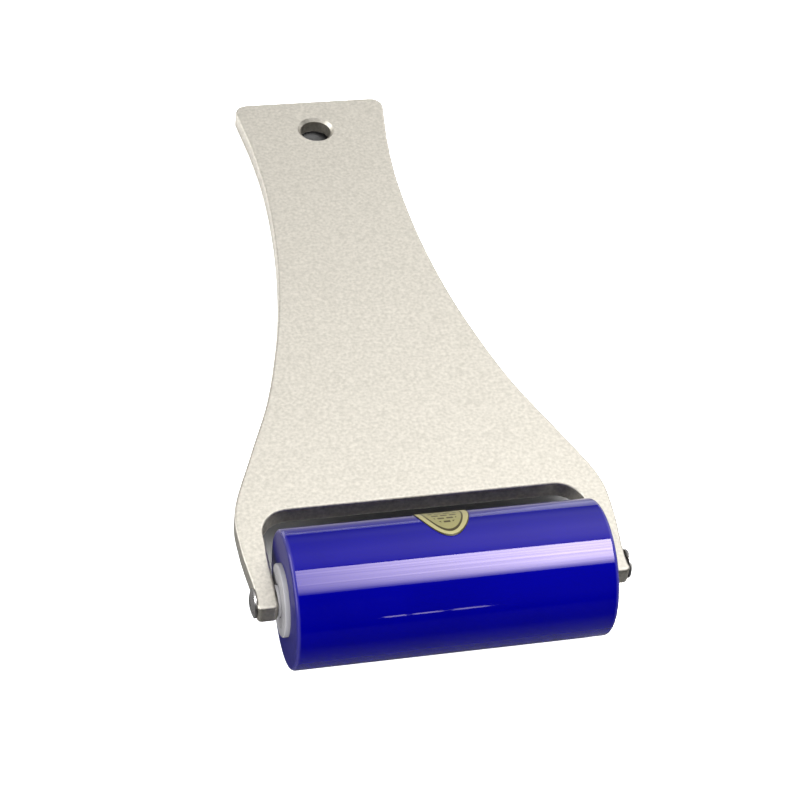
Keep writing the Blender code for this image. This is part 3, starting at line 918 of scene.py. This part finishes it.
def add_area_light(name, place, target, size, radiance):
    """A rectangular light at a place, facing a target, as bright as its radiance everywhere."""
    light = bpy.data.lights.new(name, "AREA")
    light.shape = "RECTANGLE"
    light.size, light.size_y = size
    # Cycles spreads an area light's power over four times its area
    light.energy = 4 * size[0] * size[1] * radiance
    lamp = bpy.data.objects.new(name, light)
    bpy.context.scene.collection.objects.link(lamp)
    lamp.location = place
    lamp.rotation_euler = (Vector(target) - lamp.location).to_track_quat("-Z", "Y").to_euler()
    lamp.visible_camera = False
    return lamp


def add_overhead_box():
    """A wide softbox over the roller, brighter to the right and dimmer towards the camera."""
    height = 0.8
    near, far = AXLE.y - 0.45, AXLE.y + 0.155
    left, right = -0.15, 0.5
    place = Vector(((left + right) / 2, (near + far) / 2, AXLE.z + height))
    down = place - Vector((0, 0, 1))
    lamp = add_area_light("overhead_box", place, down, (right - left, far - near), 1.0)
    lamp.data.use_nodes = True
    tree = lamp.data.node_tree
    where = add_node(tree, "ShaderNodeNewGeometry").outputs["Position"]
    split = add_node(tree, "ShaderNodeSeparateXYZ", {"Vector": where})
    across = ramp(tree, split.outputs["X"], 0.0, 0.3, 5.0, 19.0)
    back = ramp(tree, split.outputs["Y"], near, near + 0.25, 0.1, 1.0)
    stretched = add_node(
        tree, "ShaderNodeVectorMath", {0: where, 1: (0.05, 1.0, 0.0)}, operation="MULTIPLY"
    ).outputs["Vector"]
    streaks = between(tree, speckle(tree, stretched, 25, 1), 0.75, 1.2)
    strength = across
    for share in (back, streaks):
        factors = {0: strength, 1: share}
        strength = add_node(tree, "ShaderNodeMath", factors, operation="MULTIPLY").outputs[0]
    tree.links.new(strength, tree.nodes["Emission"].inputs["Strength"])
    frame_width = 0.02
    centre = (place.x, far + frame_width / 2, place.z)
    frame_paint = paper("softbox_frame_paint", 0.02)
    add_sheet("softbox_frame", right - left, frame_width, centre, frame_paint, ("glossy",))
    return lamp


def link_light(lamp, handle, state):
    """Lights only the handle, or everything but the handle."""
    linked = bpy.data.collections.new(f"{lamp.name}_link")
    linked.objects.link(handle)
    lamp.light_linking.receiver_collection = linked
    linked.collection_objects[0].light_linking.link_state = state


def add_handle_light():
    """A large even light over the handle, so its face shows its own grey from any side."""
    place = Vector((0.0, AXLE.y + 0.1, AXLE.z + 0.85))
    down = place - Vector((0, 0, 1))
    return add_area_light("handle_light", place, down, (1.4, 1.4), 0.97)


def add_lights(handle):
    """The softbox, a fill in front, a window to the left and a broken line of small tubes."""
    link_light(add_overhead_box(), handle, "EXCLUDE")
    link_light(add_handle_light(), handle, "INCLUDE")
    fill = add_area_light("front_fill", (-0.3, -1.4, 0.9), AXLE, (1.2, 0.8), 6.0)
    fill.visible_glossy = False
    add_area_light("left_window", (-1.3, 0.1, 0.45), AXLE, (1.8, 0.8), 2.6)
    tubes = ((0.162, 0.024), (0.2, 0.034), (0.252, 0.040))
    for number, (x, length) in enumerate(tubes, start=1):
        place = (x, AXLE.y - 1.0, AXLE.z + 0.21)
        add_area_light(f"front_tube_{number}", place, AXLE, (length, 0.035), 5.0)


def add_world():
    """A room that is dim on the camera's side, and brightest behind the tool and to the right."""
    world = bpy.data.worlds.new("room")
    bpy.context.scene.world = world
    world.use_nodes = True
    tree = world.node_tree
    direction = add_node(tree, "ShaderNodeTexCoord").outputs["Generated"]
    split = add_node(tree, "ShaderNodeSeparateXYZ", {"Vector": direction})
    background = tree.nodes["Background"]
    background.inputs["Color"].default_value = (1, 1, 1, 1)
    strength = ramp(tree, split.outputs["Y"], -0.1, 0.4, 0.03, 0.8)
    shares = (("X", 0.1, 0.35, 0.85, 1.7), ("Y", 0.62, 0.88, 1.28, 0.7), ("Z", 0.0, 0.3, 0.2, 1.0))
    for axis, start, end, low, high in shares:
        share = ramp(tree, split.outputs[axis], start, end, low, high)
        factors = {0: strength, 1: share}
        strength = add_node(tree, "ShaderNodeMath", factors, operation="MULTIPLY").outputs[0]
    tree.links.new(strength, background.inputs["Strength"])


def add_camera():
    """A view from above, in front and to the left, slightly rolled."""
    camera = bpy.data.cameras.new("camera")
    camera.lens = 98.4
    camera.clip_start = 0.01
    eye = bpy.data.objects.new("camera", camera)
    bpy.context.scene.collection.objects.link(eye)
    yaw, pitch, roll = radians(19.55), radians(50.18), radians(10.22)
    turn = Matrix.Rotation(-yaw, 4, "Z") @ Matrix.Rotation(pi / 2 - pitch, 4, "X")
    place = Matrix.Translation(AXLE + Vector((-0.1159, -0.2738, 0.419)))
    eye.matrix_world = place @ turn @ Matrix.Rotation(roll, 4, "Z")
    bpy.context.scene.camera = eye


add_camera()
add_floor()
add_backdrop()
add_world()
bpy.context.scene.view_settings.view_transform = "Standard"

plastic = white_plastic()
steel = turned_metal("turned_steel", (0.56, 0.56, 0.57), 0.28)
screw_steel = turned_metal("screw_steel", (0.42, 0.41, 0.4), 0.3)
bearing_steel = turned_metal("bearing_steel", (0.65, 0.65, 0.67), 0.12)
brass = turned_metal("cage_brass", (0.62, 0.44, 0.18), 0.25)

add_lights(build_handle())
build_sleeve()
build_core(plastic)
build_label()
build_axle(steel)
for side_name, side in (("left", -1), ("right", 1)):
    build_end_cap(side_name, side, plastic)
    build_screw(side_name, side, screw_steel)
    build_spacer(side_name, plastic)
    build_races(side_name, bearing_steel)
    build_shield(f"{side_name}_outside_shield", steel)
    build_shield(f"{side_name}_inside_shield", steel)
    build_balls(side_name, bearing_steel)
    build_cage(side_name, brass)
